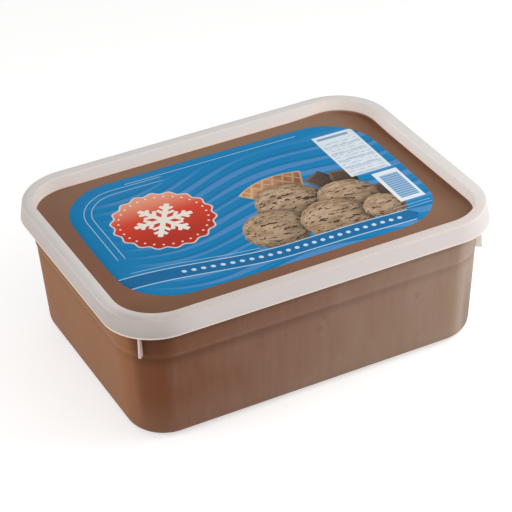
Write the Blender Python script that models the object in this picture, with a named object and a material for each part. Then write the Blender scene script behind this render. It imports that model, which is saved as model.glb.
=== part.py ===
"""A shut two-litre ice cream tub: a drafted tub, its press-on lid with a sunk panel, and the frozen fill.

Every horizontal section is a rounded rectangle. It is given by its reach, which is half its length along X,
and its corner radius. Half its width along Y is always the same amount less than the reach.
The origin is the middle of the base, with the long side along X and the short side along Y.
"""

import math

import bmesh
import bpy
from mathutils import Matrix, Vector

# Driving sizes in metres
MM = 0.001
LID_LENGTH = 0.220
LID_WIDTH = 0.160
HEIGHT = 0.0800
WALL = 0.9 * MM
GAP = 0.3 * MM

# The straight stretches of all sections end over this inner rectangle
CORE_REACH = 79.0 * MM
LENGTH_OVER_WIDTH = (LID_LENGTH - LID_WIDTH) / 2

# Tub: reach of the outer wall at some heights
BASE_REACH = 100.3 * MM
BASE_ROUNDING = 8.2 * MM
FOOT_INSET = 14.0 * MM
FOOT_DEPTH = 0.8 * MM
STEP_LOW = 53.6 * MM
STEP_HIGH = 55.4 * MM
STEP_REACH = 103.7 * MM
STEP_OUT = 0.6 * MM
FLANGE_LOW = 74.0 * MM
FLANGE_HIGH = 77.6 * MM
FLANGE_REACH = 108.2 * MM
WALL_TOP_REACH = 105.7 * MM

# Corner ribs under the flange
RIB_LOW = 54.9 * MM
RIB_LOW_REACH = 29.1 * MM
RIB_HIGH_REACH = 28.1 * MM
RIB_THICKNESS = 1.2 * MM
RIB_ROUNDING = 0.9 * MM

# Lid
LID_WALL = 0.9 * MM
PANEL_TOP = 72.3 * MM
PANEL_REACH = 102.35 * MM
RIM_INNER_REACH = 102.45 * MM
RIM_OUTER_REACH = 109.45 * MM
RIM_OUTER_RADIUS = 31.4 * MM
RIM_CROWN = 0.15 * MM
SKIRT_LOW = 69.1 * MM
SKIRT_REACH = LID_LENGTH / 2
SKIRT_RADIUS = 28.5 * MM

# Fineness of the arcs
CORNER_STEPS = 10
ARC_STEP = math.radians(22)


def clear_scene():
    for item in list(bpy.data.objects):
        bpy.data.objects.remove(item, do_unlink=True)


def plastic(name, colour, roughness):
    material = bpy.data.materials.new(name)
    material.use_nodes = True
    shader = material.node_tree.nodes["Principled BSDF"]
    shader.inputs["Base Color"].default_value = (*colour, 1.0)
    shader.inputs["Roughness"].default_value = roughness
    shader.inputs["Metallic"].default_value = 0.0
    material.diffuse_color = (*colour, 1.0)
    return material


def corner(reach, height, radius=None, rounding=0.0):
    """One corner of a profile: reach, height, the section's corner radius and the rounding of the edge."""
    if radius is None:
        radius = reach - CORE_REACH
    return Vector((reach, height, radius)), rounding


def rounded_edge(before, tip, after, rounding):
    """Points of the arc that replaces the corner at tip, with the section's radius carried along."""
    flat = [Vector(point.xy) for point in (before, tip, after)]
    to_before = (flat[0] - flat[1]).normalized()
    to_after = (flat[2] - flat[1]).normalized()
    half_angle = to_before.angle(to_after) / 2
    setback = rounding / math.tan(half_angle)
    centre = flat[1] + (to_before + to_after).normalized() * rounding / math.sin(half_angle)
    start = flat[1] + to_before * setback - centre
    end = flat[1] + to_after * setback - centre
    first = math.atan2(start.y, start.x)
    turn = math.remainder(math.atan2(end.y, end.x) - first, math.tau)
    steps = max(1, math.ceil(abs(turn) / ARC_STEP))
    points = []
    for step in range(steps + 1):
        angle = first + turn * step / steps
        place = centre + Vector((math.cos(angle), math.sin(angle))) * rounding
        points.append(Vector((place.x, place.y, tip.z + place.x - tip.x)))
    return points


def smooth_profile(corners):
    """The profile's points, from the first corner to the last, with each rounding worked out."""
    points = [corners[0][0]]
    for index in range(1, len(corners) - 1):
        tip, rounding = corners[index]
        if rounding > 0:
            points += rounded_edge(corners[index - 1][0], tip, corners[index + 1][0], rounding)
        else:
            points.append(tip)
    points.append(corners[-1][0])
    return points


def section(reach, height, radius):
    """Points of one rounded rectangle, anticlockwise from +X."""
    width = reach - LENGTH_OVER_WIDTH
    points = []
    for quarter, (side_x, side_y) in enumerate(((1, 1), (-1, 1), (-1, -1), (1, -1))):
        centre = Vector((side_x * (reach - radius), side_y * (width - radius), height))
        for step in range(CORNER_STEPS + 1):
            angle = (quarter + step / CORNER_STEPS) * math.pi / 2
            points.append(centre + Vector((math.cos(angle), math.sin(angle), 0)) * radius)
    return points


def loft(name, corners, material):
    """A closed body from a profile whose two ends are capped with flat faces."""
    mesh_builder = bmesh.new()
    rings = []
    for reach, height, radius in smooth_profile(corners):
        rings.append([mesh_builder.verts.new(point) for point in section(reach, height, radius)])
    count = len(rings[0])
    for low, high in zip(rings, rings[1:]):
        for index in range(count):
            follow = (index + 1) % count
            mesh_builder.faces.new((low[index], low[follow], high[follow], high[index]))
    mesh_builder.faces.new(rings[0])
    mesh_builder.faces.new(rings[-1])
    bmesh.ops.recalc_face_normals(mesh_builder, faces=mesh_builder.faces)
    return finish_object(name, mesh_builder, material)


def finish_object(name, mesh_builder, material):
    mesh = bpy.data.meshes.new(name)
    mesh_builder.to_mesh(mesh)
    mesh_builder.free()
    mesh.materials.append(material)
    mesh.shade_smooth()
    mesh.set_sharp_from_angle(angle=math.radians(35))
    item = bpy.data.objects.new(name, mesh)
    bpy.context.collection.objects.link(item)
    return item


def wall_inside(reach):
    return reach - WALL


def upper_wall_reach(height):
    """Reach of the tub's outer wall between the step and the flange."""
    share = (height - STEP_HIGH) / (FLANGE_LOW - STEP_HIGH)
    low = STEP_REACH + STEP_OUT
    return low + (WALL_TOP_REACH - low) * share


def tub_profile():
    """From the middle of the underside, out and up the wall, over the flange and down the inside."""
    foot_reach = BASE_REACH - FOOT_INSET
    floor = FOOT_DEPTH + WALL
    outside = [
        corner(foot_reach - 6 * MM, FOOT_DEPTH),
        corner(foot_reach - 2 * MM, FOOT_DEPTH, rounding=1.5 * MM),
        corner(foot_reach, 0, rounding=1.0 * MM),
        corner(BASE_REACH, 0, rounding=BASE_ROUNDING),
        corner(STEP_REACH, STEP_LOW, rounding=1.0 * MM),
        corner(STEP_REACH + STEP_OUT, STEP_HIGH, rounding=1.0 * MM),
        corner(WALL_TOP_REACH, FLANGE_LOW, rounding=0.4 * MM),
    ]
    flange = [
        corner(FLANGE_REACH, FLANGE_LOW, rounding=0.5 * MM),
        corner(FLANGE_REACH, FLANGE_HIGH, rounding=1.0 * MM),
        corner(wall_inside(WALL_TOP_REACH), FLANGE_HIGH, rounding=0.4 * MM),
    ]
    inside = [
        corner(wall_inside(STEP_REACH + STEP_OUT), STEP_HIGH, rounding=1.0 * MM),
        corner(wall_inside(STEP_REACH), STEP_LOW, rounding=1.0 * MM),
        corner(wall_inside(BASE_REACH), floor, rounding=BASE_ROUNDING - WALL),
        corner(foot_reach, floor),
    ]
    return outside + flange + inside


def fill_profile():
    """From the middle of the underside out and up to the flat top just under the lid's panel."""
    side = WALL + GAP
    bottom = FOOT_DEPTH + WALL + GAP
    top = PANEL_TOP - LID_WALL - GAP
    return [
        corner(BASE_REACH - FOOT_INSET, bottom),
        corner(BASE_REACH - side, bottom, rounding=BASE_ROUNDING - side),
        corner(STEP_REACH - side, STEP_LOW, rounding=1.0 * MM),
        corner(STEP_REACH + STEP_OUT - side, STEP_HIGH, rounding=1.0 * MM),
        corner(upper_wall_reach(top) - side, top, rounding=1.5 * MM),
        corner(BASE_REACH - FOOT_INSET, top),
    ]


def lid_profile():
    """From the panel's middle out to the recess wall, over the rim, round the skirt and back underneath."""
    rim_top = HEIGHT - RIM_CROWN
    rim_middle = (RIM_INNER_REACH + RIM_OUTER_REACH) / 2
    panel_end = PANEL_REACH - 5 * MM
    skirt_inside = SKIRT_REACH - LID_WALL
    upper = [
        corner(panel_end, PANEL_TOP),
        corner(PANEL_REACH, PANEL_TOP, rounding=1.0 * MM),
        corner(RIM_INNER_REACH, rim_top, rounding=0.8 * MM),
        corner(rim_middle, HEIGHT),
        corner(RIM_OUTER_REACH, rim_top, RIM_OUTER_RADIUS, rounding=1.5 * MM),
        corner(SKIRT_REACH, SKIRT_LOW, SKIRT_RADIUS, rounding=0.35 * MM),
    ]
    lower = [
        corner(skirt_inside, SKIRT_LOW, SKIRT_RADIUS - LID_WALL, rounding=0.35 * MM),
        corner(RIM_OUTER_REACH - LID_WALL, rim_top - LID_WALL, RIM_OUTER_RADIUS - LID_WALL, rounding=0.6 * MM),
        corner(RIM_INNER_REACH + LID_WALL, rim_top - LID_WALL, rounding=0.5 * MM),
        corner(PANEL_REACH + LID_WALL, PANEL_TOP - LID_WALL, rounding=1.5 * MM),
        corner(panel_end, PANEL_TOP - LID_WALL),
    ]
    return upper + lower


def corner_rib(name, side_x, side_y, material):
    """An upright plate that runs out from one rounded corner of the tub, under the flange."""
    top = FLANGE_LOW + 0.5 * MM
    middle = WALL / 2
    outline = [
        corner(upper_wall_reach(RIB_LOW) - CORE_REACH - middle, RIB_LOW),
        corner(RIB_LOW_REACH, RIB_LOW, rounding=RIB_ROUNDING),
        corner(RIB_HIGH_REACH, top),
        corner(upper_wall_reach(top) - CORE_REACH - middle, top),
    ]
    mesh_builder = bmesh.new()
    points = [Vector((point.x, -RIB_THICKNESS / 2, point.y)) for point in smooth_profile(outline)]
    face = mesh_builder.faces.new([mesh_builder.verts.new(point) for point in points])
    spread = bmesh.ops.extrude_face_region(mesh_builder, geom=[face])
    moved = [item for item in spread["geom"] if isinstance(item, bmesh.types.BMVert)]
    bmesh.ops.translate(mesh_builder, verts=moved, vec=(0, RIB_THICKNESS, 0))
    heading = math.atan2(side_y, side_x)
    corner_centre = Vector((side_x * CORE_REACH, side_y * (CORE_REACH - LENGTH_OVER_WIDTH), 0))
    place = Matrix.Translation(corner_centre) @ Matrix.Rotation(heading, 4, "Z")
    bmesh.ops.transform(mesh_builder, matrix=place, verts=mesh_builder.verts)
    bmesh.ops.recalc_face_normals(mesh_builder, faces=mesh_builder.faces)
    rib = finish_object(name, mesh_builder, material)
    rib.hide_render = True
    rib.display_type = "WIRE"
    return rib


def make_tub(material):
    tub = loft("tub", tub_profile(), material)
    for number, (side_x, side_y) in enumerate(((1, 1), (-1, 1), (-1, -1), (1, -1)), start=1):
        rib = corner_rib(f"rib_{number}", side_x, side_y, material)
        join = tub.modifiers.new(f"rib_{number}", "BOOLEAN")
        join.operation = "UNION"
        join.object = rib
    return tub


def main():
    clear_scene()
    make_tub(plastic("tub_plastic", (0.245, 0.150, 0.100), 0.38))
    loft("ice_cream", fill_profile(), plastic("ice_cream", (0.170, 0.085, 0.050), 0.60))
    loft("lid", lid_profile(), plastic("lid_plastic", (0.620, 0.570, 0.545), 0.42))


main()
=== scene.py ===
"""Looks of a shut two-litre ice cream tub, built as an add-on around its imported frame.

Sizes are in metres. Places and distances in the shaders are in millimetres, headings in degrees, and
shares from 0 to 1. The origin is the middle of the base, with the long side along X, the short side
along Y and the front long side towards -Y.
"""

import math

import bmesh
import bpy
from bpy.props import FloatProperty, FloatVectorProperty, PointerProperty
from mathutils import Matrix, Vector


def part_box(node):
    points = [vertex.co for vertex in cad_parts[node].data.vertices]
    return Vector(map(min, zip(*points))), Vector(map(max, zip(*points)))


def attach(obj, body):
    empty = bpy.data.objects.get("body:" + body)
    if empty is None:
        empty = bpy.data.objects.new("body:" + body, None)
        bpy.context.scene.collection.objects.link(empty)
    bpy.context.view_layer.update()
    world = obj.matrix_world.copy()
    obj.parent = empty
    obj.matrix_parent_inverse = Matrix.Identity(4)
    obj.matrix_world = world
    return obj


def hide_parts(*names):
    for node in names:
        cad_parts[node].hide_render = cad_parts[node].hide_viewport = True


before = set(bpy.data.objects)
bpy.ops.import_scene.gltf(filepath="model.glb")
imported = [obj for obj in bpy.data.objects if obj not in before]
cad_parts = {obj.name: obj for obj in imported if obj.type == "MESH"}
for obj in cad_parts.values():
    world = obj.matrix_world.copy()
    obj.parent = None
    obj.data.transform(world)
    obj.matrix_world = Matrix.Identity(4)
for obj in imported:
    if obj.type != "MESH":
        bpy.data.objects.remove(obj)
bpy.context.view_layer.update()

bl_info = {
    "name": "Ice Cream Tub",
    "version": (1, 0, 0),
    "blender": (4, 5, 0),
    "location": "3D View > Sidebar > Ice Cream Tub",
    "description": "Builds a shut oblong ice cream tub with a sunk, printed lid panel",
    "category": "Object",
}

MM = 0.001
BODY = "root"
LID_LOW, LID_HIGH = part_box("lid")
TUB_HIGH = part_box("tub")[1]
LENGTH_OVER_WIDTH = LID_HIGH.x - LID_HIGH.y
QUARTERS = ((1, 1), (-1, 1), (-1, -1), (1, -1))
FLOOR_GAP = 0.02 * MM
# Azimuth and height in degrees, distance and size in metres
SOFTBOXES = {
    "key": (60, 35, 0.42, (0.3, 0.3)),
    "side": (-90, 20, 0.8, (0.45, 0.35)),
    "front": (35, 20, 0.8, (0.45, 0.35)),
}
# Headings of the painted shade and painted highlight on the two front corners
LEFT_DEEP_HEADING = 235
LEFT_SKIRT_HEADING = 238
RIGHT_PALE_HEADING = 304
RIGHT_LOW_HEADING = 314
# The print's motifs: places, radii, turns and half sizes
WAVE_PITCH = 7.6
BEAD_PITCH = 5
LINE_PITCH = 2.7
RULE_PITCH = 8.1
BAR_PITCH = 2.1
SEAL_CENTRE = (-46.5, 10)
SEAL_SCALLOPS = 18
SEAL_BEADS = 30
WAFER_TIP = (25, -20)
WAFER_REACH = 41.5
RIDGE_PITCH = 5.6
CHOCOLATE_SQUARES = (((44.5, 5), 26, 6.8), ((57, 2), -12, 7.2), ((69, -21), 20, 6.6))
SCOOPS = (((20, -9), 20), ((50, -17), 17), ((2, -28), 18.5), ((34, -34), 19.5), ((62, -35), 12))
FLECK_STEPS = ((0, 0, 0), (0.3, -0.5, 0))
# Hollows against the front wall, each with its place along X and Z and its radius
FRONT_PITS = (((2, 46.5), 1.6), ((-0.5, 40), 1.3), ((57.5, 41), 1.4), ((61, 36.5), 0.7), ((-34, 30), 0.6))


def linear(code):
    """The linear colour of a screen colour code such as 7d5b49."""
    channels = [int(code[start:start + 2], 16) / 255 for start in (0, 2, 4)]
    return tuple(c / 12.92 if c <= 0.04045 else ((c + 0.055) / 1.055) ** 2.4 for c in channels)


def length_of(name, description, default):
    return FloatProperty(name=name, description=description, default=default, min=0,
                         subtype="DISTANCE", unit="LENGTH", precision=5)


def angle_of(name, description, degrees):
    return FloatProperty(name=name, description=description, default=math.radians(degrees),
                         subtype="ANGLE", unit="ROTATION")


def amount_of(name, description, default):
    return FloatProperty(name=name, description=description, default=default, min=0)


def colour_of(name, description, code):
    return FloatVectorProperty(name=name, description=description, default=linear(code),
                               min=0, max=1, subtype="COLOR")


class TubSizes(bpy.types.PropertyGroup):
    core: length_of("Core", "Half length of the rectangle inside all corners", LID_HIGH.x - 31 * MM)
    wall: length_of("Wall", "Thickness of the plastic", 0.9 * MM)
    base_reach: length_of("Base reach", "Half length of the base before rounding", 100.3 * MM)
    base_rounding: length_of("Base rounding", "Radius of the edge between base and wall", 8.2 * MM)
    foot_inset: length_of("Foot inset", "Width of the foot ring round the base", 14 * MM)
    foot_depth: length_of("Foot depth", "Depth of the hollow inside the foot ring", 0.8 * MM)
    step_low: length_of("Step low", "Height where the stacking step starts", 53.6 * MM)
    step_high: length_of("Step high", "Height where the stacking step ends", 55.4 * MM)
    step_reach: length_of("Step reach", "Half length of the wall just under the step", 103.7 * MM)
    step_out: length_of("Step out", "How far the step moves the wall out", 0.6 * MM)
    wall_top_reach: length_of("Wall top reach", "Half length of the wall under the flange", 105.7 * MM)
    flange_low: length_of("Flange low", "Height of the flange's underside", 74 * MM)
    fill_top: length_of("Fill top", "Height of the ice cream at the wall", 71.1 * MM)
    rib_low: length_of("Rib low", "Height where the corner ribs start", 54.9 * MM)
    rib_low_reach: length_of("Rib foot", "From the corner's centre to the rib's foot", 29.1 * MM)
    rib_high_reach: length_of("Rib head", "From the corner's centre to the rib's head", 28.1 * MM)
    rib_thickness: length_of("Rib thickness", "Thickness of a corner rib", 1.2 * MM)


class LidSizes(bpy.types.PropertyGroup):
    panel_top: length_of("Panel top", "Height of the sunk panel", 72.3 * MM)
    panel_reach: length_of("Panel reach", "Half length of the sunk panel", 102.35 * MM)
    rim_inner_reach: length_of("Rim inner reach", "Half length of the rim's inner edge", 102.8 * MM)
    rim_outer_reach: length_of("Rim outer reach", "Half length of the rim's outer edge", 109.45 * MM)
    rim_outer_radius: length_of("Rim corner", "Corner radius of the rim's outer edge", 31.4 * MM)
    rim_crown: length_of("Rim crown", "How much the rim rises to its middle", 0.15 * MM)
    skirt_radius: length_of("Skirt corner", "Corner radius of the skirt's lower edge", 28.5 * MM)


class PrintSizes(bpy.types.PropertyGroup):
    centre_x: length_of("Centre X", "Middle of the print", 1.07 * MM)
    centre_y: length_of("Centre Y", "Middle of the print", 4.53 * MM)
    half_length: length_of("Half length", "Half the print's length", 91.16 * MM)
    half_width: length_of("Half width", "Half the print's width", 59.72 * MM)
    corner: length_of("Corner", "Corner radius of the print", 29.2 * MM)
    end_bow: length_of("End bow", "How much the short sides bow outwards", 2.5 * MM)
    side_bow: length_of("Side bow", "How much the long sides bow outwards", 1.2 * MM)
    tilt: angle_of("Tilt", "Turn of the print on the panel", -0.93)
    film: length_of("Film", "Thickness of the printed film", 0.08 * MM)
    seal_radius: length_of("Seal radius", "Radius of the red seal", 27.3 * MM)


class TubColours(bpy.types.PropertyGroup):
    milky: colour_of("Milky plastic", "Rim and wall above the ice cream", "DEDBD8")
    milky_warm: colour_of("Milky plastic, warm", "The rim at the left and rear", "E4DFDC")
    milky_front: colour_of("Milky plastic, front", "The rim along the front", "DAD0CB")
    # Painted light: the recess wall is painted lighter, and this is also its faint emission, for light
    # that comes through the rim
    milky_lit: colour_of("Milky plastic, lit", "The recess wall", "EFE6DF")
    skirt: colour_of("Skirt", "The lid's skirt", "CDC5C2")
    # Painted shade: the skirt's left end is painted darker
    skirt_left_shade: colour_of("Skirt, left", "The skirt at the left end", "AEA49F")
    skirt_right: colour_of("Skirt, right", "The skirt round the right end", "C4C4C1")
    # Painted shade and light: the ribs at the left end are painted darker, those at the right end lighter
    rib: colour_of("Rib", "The corner ribs at the left end", "BFB4AD")
    rib_lit: colour_of("Rib, pale", "The corner ribs at the right end", "F2EEEA")
    peach: colour_of("Peach edge", "Thin, clearer edges", "E6CBB9")
    # Also a painted light line along the skirt's lower edge
    peach_low: colour_of("Peach edge, low", "The skirt's lower edge", "EDD6C9")
    # Painted light: a lighter peach line on the rim's inner edge
    peach_lit: colour_of("Peach edge, lit", "The rim's inner edge", "F3E2D9")
    wall_brown: colour_of("Wall brown", "Ice cream seen through the wall", "754C39")
    # Painted light: the wall's left end is painted lighter
    wall_left_lit: colour_of("Wall, left", "The wall's left end", "865A39")
    # Painted shade at the left front corner and under the lid; also the colour of the real pits
    wall_shade_and_pits: colour_of("Wall, deep", "Darkest parts of the wall", "6C422B")
    # Painted highlight on the right front corner
    wall_right_highlight: colour_of("Wall, right", "The wall's right front corner", "B2A296")
    # Milky veil colour, also laid on as a painted sheen that grows to the right
    haze_and_sheen: colour_of("Haze", "Milky haze of the wall", "CAC1AE")
    panel_left: colour_of("Panel, left", "The lid's panel at the left", "8C5D43")
    panel_pale: colour_of("Panel, pale", "The lid's panel at the rear", "8A6A53")
    # Painted shade on the panel along the front left and by the right wall
    panel_front_shade: colour_of("Panel, front", "The lid's panel at the front", "7F563D")
    # Painted shadow of the right recess wall on the panel
    panel_shade: colour_of("Panel, shade", "The panel's strip by the right wall", "774629")
    fill: colour_of("Ice cream", "Chocolate ice cream", "6B4A35")
    floor: colour_of("Floor", "Studio floor", "D9D9D9")


class PrintColours(bpy.types.PropertyGroup):
    field: colour_of("Field", "Blue ground of the print", "0082BC")
    stripe_pale: colour_of("Pale stripe", "Lighter stripes", "5490C8")
    stripe_deep: colour_of("Deep stripe", "Darker stripes", "1E6D9E")
    ribbon: colour_of("Ribbon", "Plain ribbon", "176EA6")
    line: colour_of("Fine line", "Fine pale lines and beads", "CFE6F2")
    seal_pale: colour_of("Seal, pale", "Upper part of the seal", "EFA184")
    seal_red: colour_of("Seal, red", "Middle of the seal", "DC4630")
    seal_deep: colour_of("Seal, deep", "Lower part of the seal", "B93422")
    cream: colour_of("Cream", "Snowflake and beads on the seal", "F6EDE4")
    scoop_pale: colour_of("Scoop, pale", "Light parts of the scoops", "C8AC90")
    scoop_mid: colour_of("Scoop, middle", "Middle tone of the scoops", "A68A6C")
    scoop_deep: colour_of("Scoop, deep", "Dark flecks in the scoops", "3C2C20")
    wafer_pale: colour_of("Wafer, pale", "Light lattice of the cone", "E6BB90")
    wafer_deep: colour_of("Wafer, deep", "Darker cells of the cone", "A66C4B")
    chocolate: colour_of("Chocolate", "Squares of chocolate", "4A3C34")
    paper: colour_of("Paper", "White panels", "E6EEF4")
    ink: colour_of("Ink", "Plain lines on the white panels", "5C8DB4")


class StageSettings(bpy.types.PropertyGroup):
    floor_radius: length_of("Floor radius", "Radius of the round floor", 6)
    camera_azimuth: angle_of("Camera azimuth", "Round the tub, from the front", -26.0613)
    camera_height: angle_of("Camera elevation", "Above the horizon", 33.1631)
    camera_roll: angle_of("Camera roll", "Turn of the picture", -2.4812)
    camera_distance: length_of("Camera distance", "From the point aimed at", 1.05446)
    aim: FloatVectorProperty(
        name="Aim", description="Point that the camera looks at",
        default=(-0.016094, -0.034072, 0.067828), subtype="TRANSLATION", unit="LENGTH", precision=5,
    )
    lens: amount_of("Lens", "Focal length in millimetres", 143.766)
    key_power: amount_of("Key", "Power of the near right softbox", 0.85)
    side_power: amount_of("Side", "Power of the left softbox", 2.2)
    front_power: amount_of("Front", "Power of the front right softbox", 0.55)
    floor_glow: amount_of("Floor glow", "Light that the floor gives off", 0.53)
    sky: amount_of("Sky", "Strength of the pale surroundings", 0.51)


def arithmetic(operation):
    """The plain and the reflected form of an operator that adds a Math node."""
    def plain(self, other):
        return self.look.number(operation, self, other)

    def reflected(self, other):
        return self.look.number(operation, other, self)

    return plain, reflected


class Signal:
    """A number that varies over a surface. Sums on it add Math nodes."""

    __add__, __radd__ = arithmetic("ADD")
    __sub__, __rsub__ = arithmetic("SUBTRACT")
    __mul__, __rmul__ = arithmetic("MULTIPLY")
    __truediv__, __rtruediv__ = arithmetic("DIVIDE")
    __mod__, __rmod__ = arithmetic("FLOORED_MODULO")

    def __init__(self, look, socket):
        self.look = look
        self.socket = socket

    def __abs__(self):
        return self.math("ABSOLUTE")

    def math(self, operation, *values):
        return self.look.number(operation, self, *values)

    def rise(self, start, end):
        """0 before start, 1 after end, smooth between them."""
        sockets = {0: self, 1: start, 2: end, 3: 0, 4: 1}
        made = self.look.node("ShaderNodeMapRange", {"interpolation_type": "SMOOTHSTEP"}, sockets)
        return Signal(self.look, made.outputs[0])

    def inside(self, soft):
        """1 where a distance is below nought and 0 where it is above, with a soft edge."""
        return 1 - self.rise(-soft, soft)


class Look:
    """One surface's look: a material, its nodes, and the shapes and colours drawn with them."""

    def __init__(self, name):
        self.material = bpy.data.materials.new(name)
        self.material.use_nodes = True
        self.tree = self.material.node_tree
        self.tree.nodes.clear()
        self.output = self.node("ShaderNodeOutputMaterial", {}, {})
        place = self.node("ShaderNodeTexCoord", {}, {}).outputs["Object"]
        scaled = {0: place, "Scale": 1 / MM}
        self.place = self.node("ShaderNodeVectorMath", {"operation": "SCALE"}, scaled).outputs[0]
        axes = self.node("ShaderNodeSeparateXYZ", {}, {0: self.place}).outputs
        self.x, self.y, self.z = [Signal(self, socket) for socket in axes]

    def node(self, kind, settings, inputs):
        """A node of any kind: its settings first, then the values or links of its sockets."""
        made = self.tree.nodes.new(kind)
        for name, value in settings.items():
            setattr(made, name, value)
        for key, value in inputs.items():
            if isinstance(value, Signal):
                value = value.socket
            if isinstance(value, bpy.types.NodeSocket):
                self.tree.links.new(value, made.inputs[key])
            else:
                made.inputs[key].default_value = value
        return made

    def number(self, operation, *values):
        made = self.node("ShaderNodeMath", {"operation": operation}, dict(enumerate(values)))
        return Signal(self, made.outputs[0])

    def largest(self, first, *others):
        for other in others:
            first = self.number("MAXIMUM", first, other)
        return first

    def smallest(self, first, *others):
        for other in others:
            first = self.number("MINIMUM", first, other)
        return first

    def grain(self, size, detail=2, stretch=(1, 1, 1), shift=0, roughness=0.5, warp=0,
              aside=(0, 0, 0), place=None):
        """Noise from 0 to 1 with spots about that many millimetres across."""
        scale = tuple(1 / (size * s) for s in stretch)
        start = tuple(shift * part + step * s for part, step, s in zip((1, 0.7, 1.3), aside, scale))
        spread = self.node("ShaderNodeVectorMath", {"operation": "MULTIPLY_ADD"},
                           {0: place or self.place, 1: scale, 2: start})
        sockets = {"Vector": spread.outputs[0], "Scale": 1, "Detail": detail,
                   "Roughness": roughness, "Distortion": warp}
        return Signal(self, self.node("ShaderNodeTexNoise", {}, sockets).outputs[0])

    def mix(self, share, under, over):
        """The colour under, changed to the colour over by a share."""
        sockets = {0: share, 6: self.solid(under), 7: self.solid(over)}
        return self.node("ShaderNodeMix", {"data_type": "RGBA"}, sockets).outputs[2]

    def solid(self, colour):
        if isinstance(colour, bpy.types.NodeSocket):
            return colour
        return (*colour[:3], 1)

    def dim(self, colour, amount):
        """A colour made darker or lighter by a factor."""
        sockets = {0: colour, "Scale": amount}
        return self.node("ShaderNodeVectorMath", {"operation": "SCALE"}, sockets).outputs[0]

    def stamp(self, tone, distance, colour, soft=0.25, share=1):
        """A tone with a share of a colour laid over it where a distance is below nought."""
        return self.mix(distance.inside(soft) * share, tone, colour)

    def length(self, along, across):
        return (along * along + across * across).math("SQRT")

    def turned(self, u, v, centre, angle):
        """The same place seen from a centre, turned by an angle in degrees."""
        cosine = math.cos(math.radians(angle))
        sine = math.sin(math.radians(angle))
        along = u - centre[0]
        across = v - centre[1]
        return along * cosine + across * sine, across * cosine - along * sine

    def disc(self, u, v, centre, radius):
        """Distance from a circle, below nought inside it."""
        return self.length(u - centre[0], v - centre[1]) - radius

    def block(self, u, v, centre, half, corner=0):
        """Distance from an upright rectangle with rounded corners, below nought inside it."""
        along = abs(u - centre[0]) - (half[0] - corner)
        across = abs(v - centre[1]) - (half[1] - corner)
        if not corner:
            return self.largest(along, across)
        outside = self.length(self.largest(along, 0), self.largest(across, 0))
        return outside + self.smallest(self.largest(along, across), 0) - corner

    def bump(self, height, distance, strength=1):
        """A normal from a height in millimetres."""
        sockets = {"Height": height, "Distance": distance * MM, "Strength": strength}
        return self.node("ShaderNodeBump", {}, sockets).outputs[0]

    def shader(self, **sockets):
        """The one shader of the material, with its constants on its own sockets."""
        named = {key.replace("_", " "): value for key, value in sockets.items()}
        made = self.node("ShaderNodeBsdfPrincipled", {}, named)
        self.tree.links.new(made.outputs[0], self.output.inputs[0])
        return self.material


def bend(reach, height, rounding=0, radius=None):
    """One corner of a profile: half length, height, rounding, and the section's corner radius."""
    if radius is None:
        radius = reach - bpy.context.scene.tub_sizes.core
    return Vector((reach, height, radius)), rounding


def rounded_edge(before, tip, after, rounding, arc_step=math.radians(10)):
    """Points of the arc that replaces a profile's corner, each with its section's radius."""
    flat = [Vector(point.xy) for point in (before, tip, after)]
    to_before = (flat[0] - flat[1]).normalized()
    to_after = (flat[2] - flat[1]).normalized()
    half_angle = to_before.angle(to_after) / 2
    setback = rounding / math.tan(half_angle)
    centre = flat[1] + (to_before + to_after).normalized() * rounding / math.sin(half_angle)
    start = flat[1] + to_before * setback - centre
    end = flat[1] + to_after * setback - centre
    first = math.atan2(start.y, start.x)
    turn = math.remainder(math.atan2(end.y, end.x) - first, math.tau)
    steps = max(2, math.ceil(abs(turn) / arc_step))
    points = []
    for step in range(steps + 1):
        angle = first + turn * step / steps
        place = centre + Vector((math.cos(angle), math.sin(angle))) * rounding
        points.append(Vector((place.x, place.y, tip.z + place.x - tip.x)))
    return points


def smooth_profile(bends, hold=0.5 * MM, longest=8 * MM):
    """The profile's points, with roundings worked out and long stretches held flat by extra points."""
    corners = [bends[0][0]]
    for index in range(1, len(bends) - 1):
        tip, rounding = bends[index]
        if rounding > 0:
            corners += rounded_edge(bends[index - 1][0], tip, bends[index + 1][0], rounding)
        else:
            corners.append(tip)
    corners.append(bends[-1][0])
    points = [corners[0]]
    for start, end in zip(corners, corners[1:]):
        span = (end.xy - start.xy).length
        if span > 3 * hold:
            pieces = math.ceil(span / longest)
            shares = [hold / span, *(step / pieces for step in range(1, pieces)), 1 - hold / span]
            points += [start.lerp(end, share) for share in shares]
        points.append(end)
    return points


def oblong(half_x, half_y, radius, height, corner_steps, shares):
    """Points of a rounded oblong, anticlockwise from +X, with some at shares of its straight sides."""
    arcs = []
    for quarter, (side_x, side_y) in enumerate(QUARTERS):
        centre = Vector((side_x * (half_x - radius), side_y * (half_y - radius), height))
        angles = [(quarter + step / corner_steps) * math.pi / 2 for step in range(corner_steps + 1)]
        arcs.append([centre + Vector((math.cos(a), math.sin(a), 0)) * radius for a in angles])
    points = []
    for arc, follow in zip(arcs, arcs[1:] + arcs[:1]):
        points += arc
        points += [arc[-1].lerp(follow[0], share) for share in shares]
    return points


def section(reach, height, radius, corner_steps=22, straight_steps=10, hold=0.012):
    """One level of the tub or lid, with points close to its corners that keep the straight sides flat."""
    shares = [hold, *(step / straight_steps for step in range(1, straight_steps)), 1 - hold]
    return oblong(reach, reach - LENGTH_OVER_WIDTH, radius, height, corner_steps, shares)


def skin(builder, rings, close_start=True, close_end=True):
    """Faces between rings of points, with flat ends."""
    rows = [[builder.verts.new(point) for point in ring] for ring in rings]
    count = len(rows[0])
    for low, high in zip(rows, rows[1:]):
        for index in range(count):
            follow = (index + 1) % count
            builder.faces.new((low[index], low[follow], high[follow], high[index]))
    if close_start:
        builder.faces.new(rows[0])
    if close_end:
        builder.faces.new(rows[-1])


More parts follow.
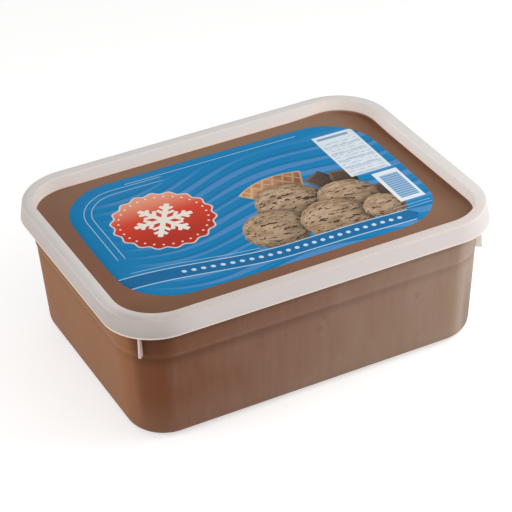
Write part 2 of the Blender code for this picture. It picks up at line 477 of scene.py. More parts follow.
def new_object(name, builder, material):
    mesh = bpy.data.meshes.new(name)
    builder.to_mesh(mesh)
    builder.free()
    mesh.materials.append(material)
    made = bpy.data.objects.new(name, mesh)
    bpy.context.collection.objects.link(made)
    return made


def set_down(name, builder, material, sharp=40):
    """Makes the object of a finished mesh and ties it to the frame."""
    bmesh.ops.recalc_face_normals(builder, faces=builder.faces)
    piece = new_object(name, builder, material)
    piece.data.shade_smooth()
    piece.data.set_sharp_from_angle(angle=math.radians(sharp))
    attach(piece, BODY)
    return piece


def wall_look(context):
    """Thin milky plastic with brown ice cream right behind it: haze, upright streaks, blotches and pits.

    A painted sheen over the milky veil grows to the right. The left front corner is deep brown with
    painted shade, darkest under the lid, and the left end is painted lighter. The right front corner is
    pale with a painted highlight. Painted shadows lie under the stacking step and the skirt.
    """
    sizes = context.scene.tub_sizes
    colours = context.scene.tub_colours
    look = Look("tub_wall")
    x, z = look.x, look.z
    hollows = pits(look)
    streaks = look.grain(3.2, 3, (1, 1, 14), 4)
    threads = look.grain(1.1, 2, (1, 1, 22), 17)
    broad = look.grain(30, 2, (1, 1, 1.4), 11, warp=0.6)
    fine = look.grain(0.9, 2, (1, 1, 1.6), 2)
    left_end = x.rise(-94, -104)
    # Painted shade on the left front corner, which faces away from the lights
    corner = facing(look, sizes, LEFT_DEEP_HEADING).rise(0.89, 0.99) * z.rise(-12, 30)
    # Painted sheen: the milky veil is painted stronger towards the right, where the light comes from
    haze_and_sheen = look.largest((x + 91) * 0.00152, 0)
    uneven = (broad - 0.5) * 0.12 + (streaks - 0.5) * 0.08 + (threads - 0.5) * 0.02
    tone = look.mix(haze_and_sheen + uneven, colours.wall_brown, colours.haze_and_sheen)
    # Painted light: the wall's left end is painted lighter
    tone = look.mix(left_end, tone, look.mix(uneven, colours.wall_left_lit, colours.haze_and_sheen))
    tone = look.mix(corner, tone, colours.wall_shade_and_pits)
    # Painted shade under the lid at the left
    high = z.rise(36, 66)
    shade = high * x.rise(40, -70) * 0.36 * (1 - left_end)
    tone = look.mix(shade, tone, colours.wall_shade_and_pits)
    # The darkest painted shade, right under the lid at the left front corner
    deepest_shade = facing(look, sizes, LEFT_DEEP_HEADING + 1).rise(0.84, 0.997) * z.rise(42, 66)
    tone = look.mix(deepest_shade * 0.5, tone, look.dim(colours.wall_shade_and_pits, 0.35))
    tone = look.mix(z.rise(30, 8) * (1 - left_end) * 0.03, tone, colours.haze_and_sheen)
    # Painted highlight on the right front corner, made darker towards its bottom
    pale = facing(look, sizes, RIGHT_PALE_HEADING, 1).rise(0.84, 0.985)
    tone = look.mix(pale * 0.46, tone, colours.wall_right_highlight)
    low_right = facing(look, sizes, RIGHT_LOW_HEADING, 1).rise(0.9, 0.99) * z.rise(58, 14)
    tone = look.dim(tone, 1 - low_right * 0.34)
    tone = look.mix(hollows * 0.25, tone, colours.wall_shade_and_pits)
    # Painted shade: a painted shadow under the stacking step, the step's slope painted a little lighter, a
    # painted shadow under the skirt and painted shade towards the base
    step = (sizes.step_low + sizes.step_high) / 2 / MM
    depth = 0.28 - x.rise(-60, 60) * 0.13 - left_end * 0.18 - corner * 0.08
    under = z.rise(step - 8.5, step - 2.6) * (z - (step - 2)).inside(0.5)
    slope = (abs(z - (step - 0.7)) - 0.8).inside(0.5) * -0.035
    skirt = z.rise(61.5, 66) * 0.22
    foot = z.rise(9, 0.5) * 0.2
    tone = look.dim(tone, 1 - (under * depth + slope + skirt + foot))
    empty = z.rise(sizes.fill_top / MM - 0.4, sizes.fill_top / MM + 0.8)
    tone = look.mix(empty, tone, colours.milky)
    height = streaks * 0.5 + fine * 0.25 + broad * 2 - hollows * 0.8
    return look.shader(
        Base_Color=tone,
        Roughness=0.42 + fine * 0.08 + streaks * 0.06,
        Specular_IOR_Level=0.06,
        Normal=look.bump(height, 0.12, 0.6),
    )


def facing(look, sizes, heading, side=-1):
    """How squarely a place on the left or right front corner faces a heading in degrees, at most 1."""
    core = sizes.core / MM
    along = look.x - side * core
    across = look.y + (core - LENGTH_OVER_WIDTH / MM)
    far = look.largest(look.length(along, across), 1)
    turn = math.radians(heading)
    return (along * math.cos(turn) + across * math.sin(turn)) / far


def pits(look):
    """1 in a few small hollows of the ice cream against the front wall."""
    ragged = (look.grain(1.6, 3, shift=33) - 0.5) * 2.4
    spots = [look.disc(look.x, look.z, place, radius) for place, radius in FRONT_PITS]
    return (look.smallest(*spots) + ragged).inside(0.5) * look.y.inside(1)


def milky_look(context):
    """Bare milky plastic, as on the corner ribs."""
    colours = context.scene.tub_colours
    look = Look("milky_plastic")
    cloud = look.grain(14, shift=3)
    fine = look.grain(0.7, shift=8)
    # Painted shade and light: the ribs at the left end are painted darker, those at the right end lighter
    tone = look.mix(look.x.rise(-20, 20), colours.rib, colours.rib_lit)
    tone = look.mix(cloud * 0.2, tone, colours.peach)
    return look.shader(
        Base_Color=tone,
        Roughness=0.4 + fine * 0.1,
        IOR=1.49,
        Normal=look.bump(fine + cloud, 0.06, 0.5),
    )


def lid_look(context):
    """Milky plastic that turns brown where the panel lies on the ice cream.

    The skirt's left end has painted shade. The recess wall is painted lighter and glows a little through a
    faint emission. Both are painted light, standing in for light that comes through the rim.
    """
    sizes = context.scene.lid_sizes
    tub = context.scene.tub_sizes
    colours = context.scene.tub_colours
    look = Look("lid_plastic")
    x, y, z = look.x, look.y, look.z
    cloud = look.grain(18, shift=5)
    fine = look.grain(0.8, shift=9)
    drift = look.grain(40, shift=21, warp=0.8)
    half = (sizes.rim_inner_reach / MM, (sizes.rim_inner_reach - LENGTH_OVER_WIDTH) / MM)
    edge = look.block(x, y, (0, 0), half, (sizes.rim_inner_reach - tub.core) / MM)
    recess = (edge - 0.35).inside(0.3)
    left = x.rise(-90, -104)
    rear = y.rise(30, 60)
    low = (z - 79).inside(0.7) * (1 - recess)
    # Painted shade: the skirt's left end is painted darker
    skirt = look.mix(x.rise(-66, -98), colours.skirt, colours.skirt_left_shade)
    skirt = look.mix(x.rise(84, 104) * 0.6, skirt, colours.skirt_right)
    milky = look.mix(low, milky_rim(look, colours, edge, cloud, left), skirt)
    # Painted shade on the rim's outer edge, stronger at the left, over the highlight the rounding catches
    outer_edge = (abs(z - 79.3) - 0.55).inside(0.3) * (1 - recess)
    crease_shade = 0.05 + left * (y.rise(-40, 30) * 0.03 + 0.11)
    # Painted light on the top of the skirt and painted shade on the rim towards its outer edge, both at
    # the left front corner; painted shade on the skirt's lower part at the front left and the left end
    corner = facing(look, tub, LEFT_SKIRT_HEADING).rise(0.72, 0.97)
    high = z.rise(69, 79.5) * low * corner * 0.12
    foot_shade = z.rise(76, 67) * x.rise(20, -60) * 0.07
    foot_shade = foot_shade + x.rise(-98, -104) * y.rise(-24, -46) * 0.08
    rim_shade = (1 - low) * corner * edge.rise(0, 7) * 0.14
    milky = look.dim(milky, 1 - outer_edge * crease_shade + high - foot_shade * low - rim_shade)
    # Painted light: a lighter peach line along the skirt's lower edge
    milky = look.stamp(milky, z - (LID_LOW.z / MM + 0.9), colours.peach_low, 0.4, 0.7)
    above = z - sizes.panel_top / MM
    climb = x.rise(60, 100) * 0.4 + rear * 0.15 + (x + y).rise(130, 155) * 0.5
    lift = above - climb
    # Painted light: the recess wall is painted lighter, with a peach band at its foot
    foot = look.mix(lift.rise(0.4, 1), colours.peach_low, colours.milky_lit)
    inner = look.mix(lift.rise(0.1, 0.3), panel_brown(look, colours, drift), foot)
    tone = look.mix(recess, milky, inner)
    # Painted shade along the rim's inner edge at the rear, over the highlight its rounding catches
    rear_edge_shade = (abs(edge) - 0.5).inside(0.5) * above.rise(6.4, 7.2) * y.rise(25, 60)
    tone = look.dim(tone, 1 - rear_edge_shade * (0.11 + x.rise(0, 80) * 0.07))
    # Painted light: a faint emission on the recess wall for light that comes through the rim, weaker to
    # the rear
    glow = recess * above.rise(0.3, 1) * (1 - rear * 0.45)
    return look.shader(
        Base_Color=tone,
        Roughness=0.4 + fine * 0.1 + cloud * 0.04 + outer_edge * 0.3,
        Specular_IOR_Level=0.35,
        Emission_Color=look.mix(glow, (0, 0, 0), colours.milky_lit),
        Emission_Strength=0.18,
        Normal=look.bump(fine * 0.4 + cloud, 0.08, 0.5),
    )


def milky_rim(look, colours, edge, cloud, left):
    """The rim's milky plastic, warmer along the front, with a peach inner edge at the front and left."""
    x, y = look.x, look.y
    tone = look.mix(y.rise(-74, -45), colours.milky_front, colours.milky_warm)
    tone = look.mix(x.rise(84, 108) * 0.7, tone, colours.milky)
    tone = look.mix(cloud * 0.12, tone, colours.peach)
    # Painted light and shade: the left rim is lighter near its inner edge and darker towards its outer
    # edge
    tone = look.dim(tone, 1 + left * (0.08 - edge.rise(0.5, 5) * 0.16))
    near = look.largest(x.rise(-98, -102), y.rise(-68, -72) * 0.7)
    # Painted light: a lighter peach line on the rim's inner edge at the front and left
    return look.stamp(tone, abs(edge - 0.3) - 0.45, colours.peach_lit, 0.35, near * 0.8)


def panel_brown(look, colours, drift):
    """The ice cream under the clear panel: paler to the rear, darker at the front left and the right."""
    x, y = look.x, look.y
    pale = (x + y * 1.5).rise(-100, 130)
    tone = look.mix(pale, colours.panel_left, colours.panel_pale)
    # Painted shade along the front left and by the right recess wall
    front = y.rise(-40, -58) * x.rise(60, -40)
    right = x.rise(84, 96)
    tone = look.mix(look.largest(front, right), tone, colours.panel_front_shade)
    # Painted shadow of the right recess wall
    tone = look.mix(x.rise(96, 101), tone, colours.panel_shade)
    near = x.rise(10, 70) * y.rise(-40, -56)
    tone = look.dim(look.mix(near * 0.35, tone, colours.panel_pale), 1 - near * 0.06)
    return look.mix((drift - 0.5) * 0.6, tone, colours.panel_pale)


def ice_cream_look(context):
    """Frozen chocolate ice cream: grainy, matt, with small crystals and darker flecks."""
    colours = context.scene.tub_colours
    look = Look("ice_cream")
    lumps = look.grain(6, 4, shift=1, roughness=0.6)
    flecks = look.grain(1.4, 3, shift=14, roughness=0.6)
    tone = look.mix(lumps.rise(0.3, 0.75), look.dim(colours.fill, 0.8), look.dim(colours.fill, 1.35))
    tone = look.mix(flecks.rise(0.6, 0.75) * 0.6, tone, look.dim(colours.fill, 0.45))
    return look.shader(
        Base_Color=tone,
        Roughness=0.62 + flecks * 0.15,
        Normal=look.bump(lumps + flecks * 0.4, 0.6, 0.8),
    )


def paint_stripes(look, colours, u, v, tone):
    """Long waves across the field, paler bands with a deeper line along each."""
    swing = (u * 0.043 + 0.9).math("SINE") * 8 + (u * 0.019 - 1.1).math("SINE") * 9
    spread = 1 + (u + 90) * 0.0035
    phase = (v - swing) / spread
    place = phase % WAVE_PITCH
    swell = (u * 0.06 + phase * 0.2).math("SINE") * 0.5
    pale = (abs(place - 2.4) - 1.25 + swell).inside(0.3)
    deep = (abs(place - 4.6) - 0.7).inside(0.7)
    reach = u.rise(-84, -56) * v.rise(54, 38)
    tone = look.mix(deep * reach * 0.6, tone, colours.stripe_deep)
    return look.mix(pale * reach * 0.85, tone, colours.stripe_pale)


def paint_ribbon(look, colours, u, v, tone):
    """A plain ribbon along the front, with pale edges, a row of beads and one fine line over it."""
    middle = -48.5 + u.rise(0, -88) * 12 - u.rise(30, 80) * 1.5
    off = abs(v - middle)
    ends = look.largest(u - 74 + off * 0.8, -90 - u)
    tone = look.stamp(tone, look.largest(off - 5.2, ends), colours.ribbon, 0.2)
    edge = (abs(off - 5.3) - 0.35).inside(0.2) * ends.inside(0.4)
    cell = u % BEAD_PITCH - BEAD_PITCH / 2
    bead = look.disc(cell, v - middle, (0, 0), 1.25).inside(0.25)
    bead = bead * look.largest(u - 65, -60 - u).inside(0.2)
    fine = (abs(v - middle - 8.2) - 0.2).inside(0.2) * look.largest(u + 14, -82 - u).inside(1)
    return look.mix(look.largest(edge * 0.85, bead, fine * 0.7), tone, colours.line)


def paint_seal(look, colours, u, v, tone, centre, radius):
    """A round red seal with a scalloped edge, a ring of beads and a plain snowflake."""
    along = u - centre[0]
    across = v - centre[1]
    far = look.length(along, across)
    angle = across.math("ARCTAN2", along)
    edge = radius + (angle * SEAL_SCALLOPS).math("COSINE") * 0.9
    red = look.mix(across.rise(-radius * 0.75, radius * 0.35), colours.seal_deep, colours.seal_red)
    red = look.mix(across.rise(radius * 0.1, radius * 0.95), red, colours.seal_pale)
    tone = look.stamp(tone, far - edge, red)
    tone = look.stamp(tone, abs(far - edge) - 0.5, colours.cream, share=0.75)
    turn = math.tau / SEAL_BEADS
    bead_angle = angle % turn - turn / 2
    bead = look.disc(bead_angle * far, far, (0, radius - 3.4), 0.62)
    tone = look.stamp(tone, bead, colours.cream)
    for shift, share, colour in ((0.9, 0.45, colours.seal_deep), (0, 1, colours.cream)):
        tone = look.mix(snowflake(look, along, across + shift) * share, tone, colour)
    return tone


def snowflake(look, along, across):
    """1 on a bold six-armed snowflake, 0 elsewhere."""
    far = look.length(along, across)
    sixth = math.tau / 6
    angle = across.math("ARCTAN2", along) + sixth / 2
    fold = angle % sixth - sixth / 2
    out = far * fold.math("COSINE")
    side = abs(far * fold.math("SINE"))
    parts = [look.block(out, side, (8, 0), (8.6, 1.5), 0.8)]
    for start, reach in ((6, 5.2), (10.8, 3.8)):
        run, off = look.turned(out, side, (start, 0), 52)
        parts.append(look.block(run, off, (reach / 2, 0), (reach / 2 + 0.6, 1.1), 0.6))
    return look.smallest(*parts).inside(0.2)


def paint_wafer(look, colours, u, v, tone):
    """A fan-shaped wafer behind the scoops, with a lattice of pale ridges. Returns its outline too."""
    run, off = look.turned(u, v, WAFER_TIP, 100)
    far = look.length(run, off)
    shape = look.largest(far - WAFER_REACH, abs(off) - run * 0.58)
    lattice = []
    for angle in (36, -36):
        across = look.turned(run, off, (0, 0), angle)[1]
        ridge = abs(across % RIDGE_PITCH - RIDGE_PITCH / 2)
        lattice.append((ridge - 0.5).inside(0.35))
    ridges = look.largest(*lattice)
    glow = off.rise(-16, 12)
    toast = look.grain(9, 3, shift=27).rise(0.35, 0.65)
    cells = look.mix(glow * 0.3 + toast * 0.4, colours.wafer_deep, colours.wafer_pale)
    wafer = look.mix(ridges * 0.8, cells, colours.wafer_pale)
    wafer = look.dim(wafer, 0.7 + glow * 0.3)
    tone = look.stamp(tone, shape, wafer)
    return look.stamp(tone, abs(shape + 0.5) - 0.5, colours.wafer_pale, 0.3, 0.6), shape


def paint_chocolate(look, colours, u, v, tone, behind):
    """Squares broken off a chocolate bar. Returns the outline of all that is behind the scoops too."""
    for centre, angle, half in CHOCOLATE_SQUARES:
        run, off = look.turned(u, v, centre, angle)
        shape = look.block(run, off, (0, 0), (half, half), 0.9)
        top = look.block(run, off, (0, 0), (half - 1.7, half - 1.7), 0.5)
        light = (off - run).rise(-half * 1.4, half * 1.4)
        side = look.dim(colours.chocolate, 0.45 + light * 2.4)
        face = look.dim(colours.chocolate, 1 + light * 0.6)
        tone = look.stamp(tone, shape, look.stamp(side, top, face), 0.2)
        behind = look.smallest(behind, shape)
    return tone, behind


def paint_scoops(look, colours, u, v, tone, behind):
    """Round scoops of chocolate ice cream, smooth and drawn out, with dark flecks and a ruffled foot."""
    ragged = (look.grain(6, 3, shift=31) - 0.5) * 4
    ruffle = (look.grain(2.6, shift=35) - 0.5) * 5
    for number, (centre, radius) in enumerate(SCOOPS):
        along = (u - centre[0]) / radius
        across = (v - centre[1]) / radius
        far = along * along + across * across
        low = across.rise(-0.1, -0.8)
        shape = (far.math("SQRT") - 1) * radius + ragged + low * ruffle
        crown = look.largest(1 - far, 0).math("SQRT")
        spread = radius / (crown * 0.6 + 0.4)
        around = {0: along * spread, 1: across * spread, 2: number * 40}
        place = look.node("ShaderNodeCombineXYZ", {}, around).outputs[0]
        drawn = look.grain(6, 3, (2.2, 1, 1), 41, warp=0.6, place=place).rise(0.35, 0.65)
        specks = [look.grain(2.7, 2, (1.8, 0.9, 1), 52, 0.6, 0.4, aside, place) for aside in FLECK_STEPS]
        flecks, lit = [speck.rise(0.55, 0.61) for speck in specks]
        fine = look.grain(0.9, shift=63, place=place)
        mass = look.mix(drawn, colours.scoop_mid, colours.scoop_pale)
        mass = look.mix(flecks * 0.9, mass, colours.scoop_deep)
        light = across * 0.28 - along * 0.24 + crown * 0.34 + lit * (1 - flecks) * 0.2 + (fine - 0.5) * 0.4
        fold = (abs(shape + radius * 0.15) - 0.4).inside(0.8) * low
        ball = look.dim(mass, look.largest(0.55 + light - fold * 0.35, 0.2))
        shadow = (shape - 1.6).inside(2.2) * behind.inside(0.3)
        tone = look.mix(shadow * 0.6, tone, colours.scoop_deep)
        tone = look.stamp(tone, shape, ball)
        behind = look.smallest(behind, shape)
    return tone


def paint_panels(look, colours, u, v, tone):
    """A white panel of plain lines, and a white-framed panel of even bars."""
    sheet = look.block(u, v, (73, 22.7), (12.4, 23.6), 0.3)
    lines = abs(v % LINE_PITCH - LINE_PITCH / 2)
    margin = look.block(u, v, (73, 19.5), (11, 19.5)).inside(0.3)
    ragged = look.grain(2.6, 1, (1.4, 0.4, 1), 71).rise(0.42, 0.52)
    paper = look.stamp(colours.paper, lines - 0.42, colours.ink, 0.3, margin * ragged * 0.5)
    rules = abs(v % RULE_PITCH - 0.2)
    paper = look.stamp(paper, rules - 0.3, colours.ink, 0.25, margin * 0.8)
    head = look.block(u, v, (72, 42.8), (9.6, 1.2))
    paper = look.stamp(paper, head, colours.ink, 0.3, 0.8)
    tone = look.stamp(tone, sheet, paper, 0.2, 0.95)
    frame_shape = look.block(u, v, (78.6, -20), (7.6, 16.2), 0.2)
    tone = look.stamp(tone, frame_shape, colours.paper, 0.2)
    window = look.block(u, v, (78.9, -20.4), (5.6, 12.6), 0.2)
    bars = abs(v % BAR_PITCH - BAR_PITCH / 2)
    pane = look.stamp(look.mix(0.5, colours.paper, colours.field), bars - 0.5, colours.field, 0.3, 0.75)
    return look.stamp(tone, window, pane, 0.2)


def paint_lines(look, colours, u, v, tone):
    """Fine pale lines near the edge."""
    rear = look.block(u, v, (2, 53.6), (52, 0.22))
    masks = [rear.inside(0.18) * 0.7]
    for inset in (8, 12):
        ring = look.block(u, v, (0, 0), (91 - inset, 59.5 - inset), 33 - inset)
        left = look.largest(u + 30, -14 - v).inside(1.5)
        masks.append((abs(ring) - 0.24).inside(0.18) * left * 0.65)
    for height in (-40.5, -43.2):
        masks.append(look.block(u, v, (75, height), (11, 0.2)).inside(0.18) * 0.6)
    for mask in masks:
        tone = look.mix(mask, tone, colours.line)
    return tone


def print_look(context):
    """The printed film: a blue field with waves, a seal, a ribbon and a plain dessert picture."""
    sizes = context.scene.print_sizes
    colours = context.scene.print_colours
    look = Look("lid_print")
    centre = (sizes.centre_x / MM, sizes.centre_y / MM)
    u, v = look.turned(look.x, look.y, centre, math.degrees(sizes.tilt))
    depth = look.grain(60, 1, shift=81).rise(0.3, 0.7)
    tone = look.mix(depth * 0.08, colours.field, colours.stripe_pale)
    tone = paint_stripes(look, colours, u, v, tone)
    tone = paint_seal(look, colours, u, v, tone, SEAL_CENTRE, sizes.seal_radius / MM)
    tone, behind = paint_wafer(look, colours, u, v, tone)
    tone, behind = paint_chocolate(look, colours, u, v, tone, behind)
    tone = paint_scoops(look, colours, u, v, tone, behind)
    tone = paint_ribbon(look, colours, u, v, tone)
    tone = paint_panels(look, colours, u, v, tone)
    tone = paint_lines(look, colours, u, v, tone)
    fine = look.grain(0.6, 1, shift=91)
    ripple = look.grain(16, shift=95)
    return look.shader(
        Base_Color=tone,
        Roughness=0.5 + fine * 0.08,
        Specular_IOR_Level=0.15,
        Normal=look.bump(ripple * 2 + fine * 0.2, 0.08, 0.5),
    )


class TUB_OT_wall(bpy.types.Operator):
    """Loft the tub's thin wall with its foot ring, stacking step and flange"""
    bl_idname = "ice_cream_tub.wall"
    bl_label = "Tub wall"

    def execute(self, context):
        s = context.scene.tub_sizes
        foot = s.base_reach - s.foot_inset
        dish = foot - 2 * MM
        step_top = s.step_reach + s.step_out
        soft, tight = 1.2 * MM, 1 * MM
        flange_reach, flange_high = TUB_HIGH.x, TUB_HIGH.z
        outside = [
            bend(dish - 4 * MM, s.foot_depth),
            bend(dish, s.foot_depth, 1.5 * MM),
            bend(foot, 0, tight),
            bend(s.base_reach, 0, s.base_rounding),
            bend(s.step_reach, s.step_low, soft),
            bend(step_top, s.step_high, soft),
            bend(s.wall_top_reach, s.flange_low, 0.4 * MM),
            bend(flange_reach, s.flange_low, 0.5 * MM),
            bend(flange_reach, flange_high, tight),
        ]
        inside = [
            bend(s.wall_top_reach - s.wall, flange_high, 0.4 * MM),
            bend(step_top - s.wall, s.step_high, tight),
            bend(s.step_reach - s.wall, s.step_low, tight),
            bend(s.base_reach - s.wall, s.foot_depth + s.wall, s.base_rounding - s.wall),
            bend(foot, s.foot_depth + s.wall),
        ]
        builder = bmesh.new()
        skin(builder, [section(*point) for point in smooth_profile(outside + inside)])
        piece = set_down("tub_wall", builder, wall_look(context))
        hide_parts("tub")
        return {"FINISHED"}


class TUB_OT_ribs(bpy.types.Operator):
    """Make the four upright corner ribs under the flange"""
    bl_idname = "ice_cream_tub.ribs"
    bl_label = "Corner ribs"

    def execute(self, context):
        s = context.scene.tub_sizes
        rounding = 0.3 * MM
        top = s.flange_low + 0.5 * MM
        share = (s.rib_low - s.step_high) / (s.flange_low - s.step_high)
        low_wall = s.step_reach + s.step_out + (s.wall_top_reach - s.step_reach - s.step_out) * share
        outline = [
            bend(low_wall - s.core - s.wall / 2, s.rib_low),
            bend(s.rib_low_reach, s.rib_low, 0.9 * MM),
            bend(s.rib_high_reach, top),
            bend(s.wall_top_reach - s.core - s.wall / 2, top),
        ]
        points = [Vector((p.x, -s.rib_thickness / 2, p.y)) for p in smooth_profile(outline)]
        builder = bmesh.new()
        for side_x, side_y in QUARTERS:
            face = builder.faces.new([builder.verts.new(point) for point in points])
            spread = bmesh.ops.extrude_face_region(builder, geom=[face])
            far_side = [item for item in spread["geom"] if isinstance(item, bmesh.types.BMVert)]
            bmesh.ops.translate(builder, verts=far_side, vec=(0, s.rib_thickness, 0))
            corner = Vector((side_x * s.core, side_y * (s.core - LENGTH_OVER_WIDTH), 0))
            turn = Matrix.Rotation(math.atan2(side_y, side_x), 4, "Z")
            made = list(face.verts) + far_side
            bmesh.ops.transform(builder, matrix=Matrix.Translation(corner) @ turn, verts=made)
        rounded = [edge for edge in builder.edges if edge.calc_length() > 0.01 * MM
                   and edge.is_manifold and edge.calc_face_angle(0) > math.radians(60)]
        bmesh.ops.bevel(builder, geom=rounded, offset=rounding, segments=3, profile=0.5, affect="EDGES")
        piece = set_down("corner_ribs", builder, milky_look(context))
        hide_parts("tub")
        return {"FINISHED"}


class TUB_OT_lid(bpy.types.Operator):
    """Loft the lid with its sunk panel, flat rim and flared skirt"""
    bl_idname = "ice_cream_tub.lid"
    bl_label = "Lid"

    def execute(self, context):
        s = context.scene.lid_sizes
        wall = context.scene.tub_sizes.wall
        rim_top = LID_HIGH.z - s.rim_crown
        panel_end = s.panel_reach - 5 * MM
        skirt_reach = LID_HIGH.x
        lip = 0.35 * MM
        upper = [
            bend(panel_end, s.panel_top),
            bend(s.panel_reach, s.panel_top, 1 * MM),
            bend(s.rim_inner_reach, rim_top, 0.8 * MM),
            bend((s.rim_inner_reach + s.rim_outer_reach) / 2, LID_HIGH.z),
            bend(s.rim_outer_reach, rim_top, 1 * MM, s.rim_outer_radius),
            bend(skirt_reach, LID_LOW.z, lip, s.skirt_radius),
        ]
        lower = [
            bend(skirt_reach - wall, LID_LOW.z, lip, s.skirt_radius - wall),
            bend(s.rim_outer_reach - wall, rim_top - wall, 0.6 * MM, s.rim_outer_radius - wall),
            bend(s.rim_inner_reach + wall, rim_top - wall, 0.5 * MM),
            bend(s.panel_reach + wall, s.panel_top - wall, 1.5 * MM),
            bend(panel_end, s.panel_top - wall),
        ]
        builder = bmesh.new()
        skin(builder, [section(*point) for point in smooth_profile(upper + lower)])
        piece = set_down("lid_shell", builder, lid_look(context))
        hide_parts("lid")
        return {"FINISHED"}


class TUB_OT_print(bpy.types.Operator):
    """Lay the thin printed film on the lid's panel"""
    bl_idname = "ice_cream_tub.print"
    bl_label = "Printed film"

    def execute(self, context):
        s = context.scene.print_sizes
        gap = 0.01 * MM
        low = context.scene.lid_sizes.panel_top + gap
        high = low + s.film
        place = Matrix.Translation((s.centre_x, s.centre_y, 0)) @ Matrix.Rotation(s.tilt, 4, "Z")
        rings = []
        steps = ((0, low), (0, low + s.film * 0.6), (s.film * 0.5, high), (4 * MM, high))
        for inset, height in steps:
            rings.append([place @ point for point in self.outline(s, inset, height)])
        builder = bmesh.new()
        skin(builder, rings)
        set_down("label_print", builder, print_look(context))
        return {"FINISHED"}

    def outline(self, s, inset, height, corner_steps=20, straight_steps=12):
        """Points of the print's outline, its sides bowed a little outwards."""
        half_x = s.half_length - inset
        half_y = s.half_width - inset
        shares = [step / straight_steps for step in range(1, straight_steps)]
        points = oblong(half_x, half_y, s.corner - inset, height, corner_steps, shares)
        for point in points:
            pull_x = 1 - s.end_bow / half_x * (point.y / half_y) ** 2
            point.y *= 1 - s.side_bow / half_y * (point.x / half_x) ** 2
            point.x *= pull_x
        return points


class TUB_OT_ice_cream(bpy.types.Operator):
    """Give the ice cream inside its frozen, grainy look"""
    bl_idname = "ice_cream_tub.ice_cream"
    bl_label = "Ice cream"

    def execute(self, context):
        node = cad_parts["ice_cream"]
        node.data.materials.clear()
        node.data.materials.append(ice_cream_look(context))
        return {"FINISHED"}


def toward(azimuth, rise):
    """The direction to a place round the tub, measured from the front and from the horizon."""
    out = math.cos(rise)
    return Vector((math.sin(azimuth) * out, -math.cos(azimuth) * out, math.sin(rise)))


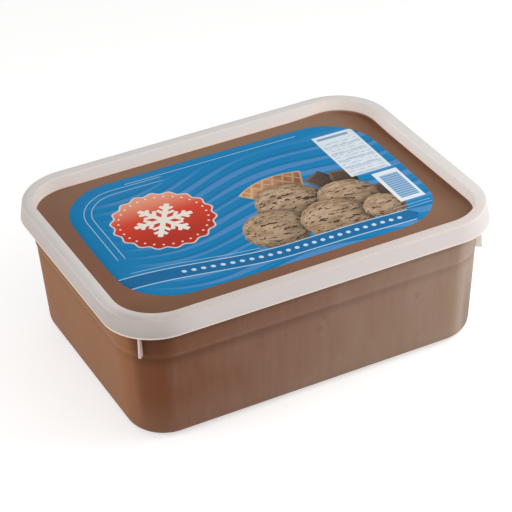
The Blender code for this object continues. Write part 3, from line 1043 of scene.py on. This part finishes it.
class TUB_OT_stage(bpy.types.Operator):
    """Set up the pale floor, the soft lights, the surroundings and the camera"""
    bl_idname = "ice_cream_tub.stage"
    bl_label = "Stage"

    def execute(self, context):
        s = context.scene.tub_stage
        self.lay_floor(context, s)
        for name, place in SOFTBOXES.items():
            self.hang_light(name + "_softbox", *place, getattr(s, name + "_power"))
        self.light_surroundings(context, s)
        self.set_camera(context, s)
        return {"FINISHED"}

    def lay_floor(self, context, s):
        look = Look("studio_floor")
        cloud = look.grain(220, shift=2)
        colours = context.scene.tub_colours
        tone = look.mix(cloud * 0.06, colours.floor, look.dim(colours.floor, 0.9))
        material = look.shader(Base_Color=tone, Roughness=0.75, Specular_IOR_Level=0.2,
                               Emission_Color=(1, 1, 1, 1), Emission_Strength=s.floor_glow)
        builder = bmesh.new()
        bmesh.ops.create_circle(builder, cap_ends=True, segments=96, radius=s.floor_radius)
        floor = new_object("studio_floor", builder, material)
        floor.location.z = -FLOOR_GAP

    def hang_light(self, name, azimuth, height, distance, size, power):
        light = bpy.data.lights.new(name, "AREA")
        light.shape = "RECTANGLE"
        light.size = size[0]
        light.size_y = size[1]
        light.energy = power
        lamp = bpy.data.objects.new(name, light)
        back = toward(math.radians(azimuth), math.radians(height))
        lamp.location = Vector((0, 0, LID_HIGH.z / 2)) + back * distance
        lamp.rotation_euler = back.to_track_quat("Z", "Y").to_euler()
        lamp.visible_camera = False
        bpy.context.collection.objects.link(lamp)

    def light_surroundings(self, context, s):
        world = bpy.data.worlds.new("pale_surroundings")
        world.use_nodes = True
        background = world.node_tree.nodes["Background"]
        background.inputs["Color"].default_value = (1, 0.99, 0.98, 1)
        background.inputs["Strength"].default_value = s.sky
        context.scene.world = world

    def set_camera(self, context, s):
        back = toward(s.camera_azimuth, s.camera_height)
        level = Vector((math.cos(s.camera_azimuth), math.sin(s.camera_azimuth), 0))
        upright = back.cross(level)
        right = level * math.cos(s.camera_roll) + upright * math.sin(s.camera_roll)
        up = upright * math.cos(s.camera_roll) - level * math.sin(s.camera_roll)
        turn = Matrix((right, up, back)).transposed().to_4x4()
        data = bpy.data.cameras.new("camera")
        data.sensor_width = 36
        data.lens = s.lens
        camera = bpy.data.objects.new("camera", data)
        camera.matrix_world = Matrix.Translation(Vector(s.aim) + back * s.camera_distance) @ turn
        context.collection.objects.link(camera)
        context.scene.camera = camera
        context.scene.view_settings.view_transform = "Standard"


class TUB_PT_panel(bpy.types.Panel):
    bl_idname = "TUB_PT_panel"
    bl_label = "Ice Cream Tub"
    bl_space_type = "VIEW_3D"
    bl_region_type = "UI"
    bl_category = "Ice Cream Tub"

    def draw(self, context):
        for operator in OPERATORS:
            self.layout.operator(operator.bl_idname)
        for name, (group, label) in GROUPS.items():
            box = self.layout.box()
            box.label(text=label)
            for key in group.__annotations__:
                box.prop(getattr(context.scene, name), key)


OPERATORS = (TUB_OT_wall, TUB_OT_ribs, TUB_OT_lid, TUB_OT_print, TUB_OT_ice_cream, TUB_OT_stage)
GROUPS = {
    "tub_sizes": (TubSizes, "Tub sizes"),
    "lid_sizes": (LidSizes, "Lid sizes"),
    "print_sizes": (PrintSizes, "Print sizes"),
    "tub_colours": (TubColours, "Plastic and ice cream"),
    "print_colours": (PrintColours, "Print colours"),
    "tub_stage": (StageSettings, "Stage"),
}


def register():
    for name, (group, label) in GROUPS.items():
        bpy.utils.register_class(group)
        setattr(bpy.types.Scene, name, PointerProperty(type=group, name=label))
    for part in (*OPERATORS, TUB_PT_panel):
        bpy.utils.register_class(part)


def unregister():
    for part in (TUB_PT_panel, *reversed(OPERATORS)):
        bpy.utils.unregister_class(part)
    for name, (group, label) in reversed(GROUPS.items()):
        delattr(bpy.types.Scene, name)
        bpy.utils.unregister_class(group)


def main():
    register()
    bpy.ops.ice_cream_tub.wall()
    bpy.ops.ice_cream_tub.ribs()
    bpy.ops.ice_cream_tub.lid()
    bpy.ops.ice_cream_tub.print()
    bpy.ops.ice_cream_tub.ice_cream()
    bpy.ops.ice_cream_tub.stage()


if __name__ == "__main__":
    main()
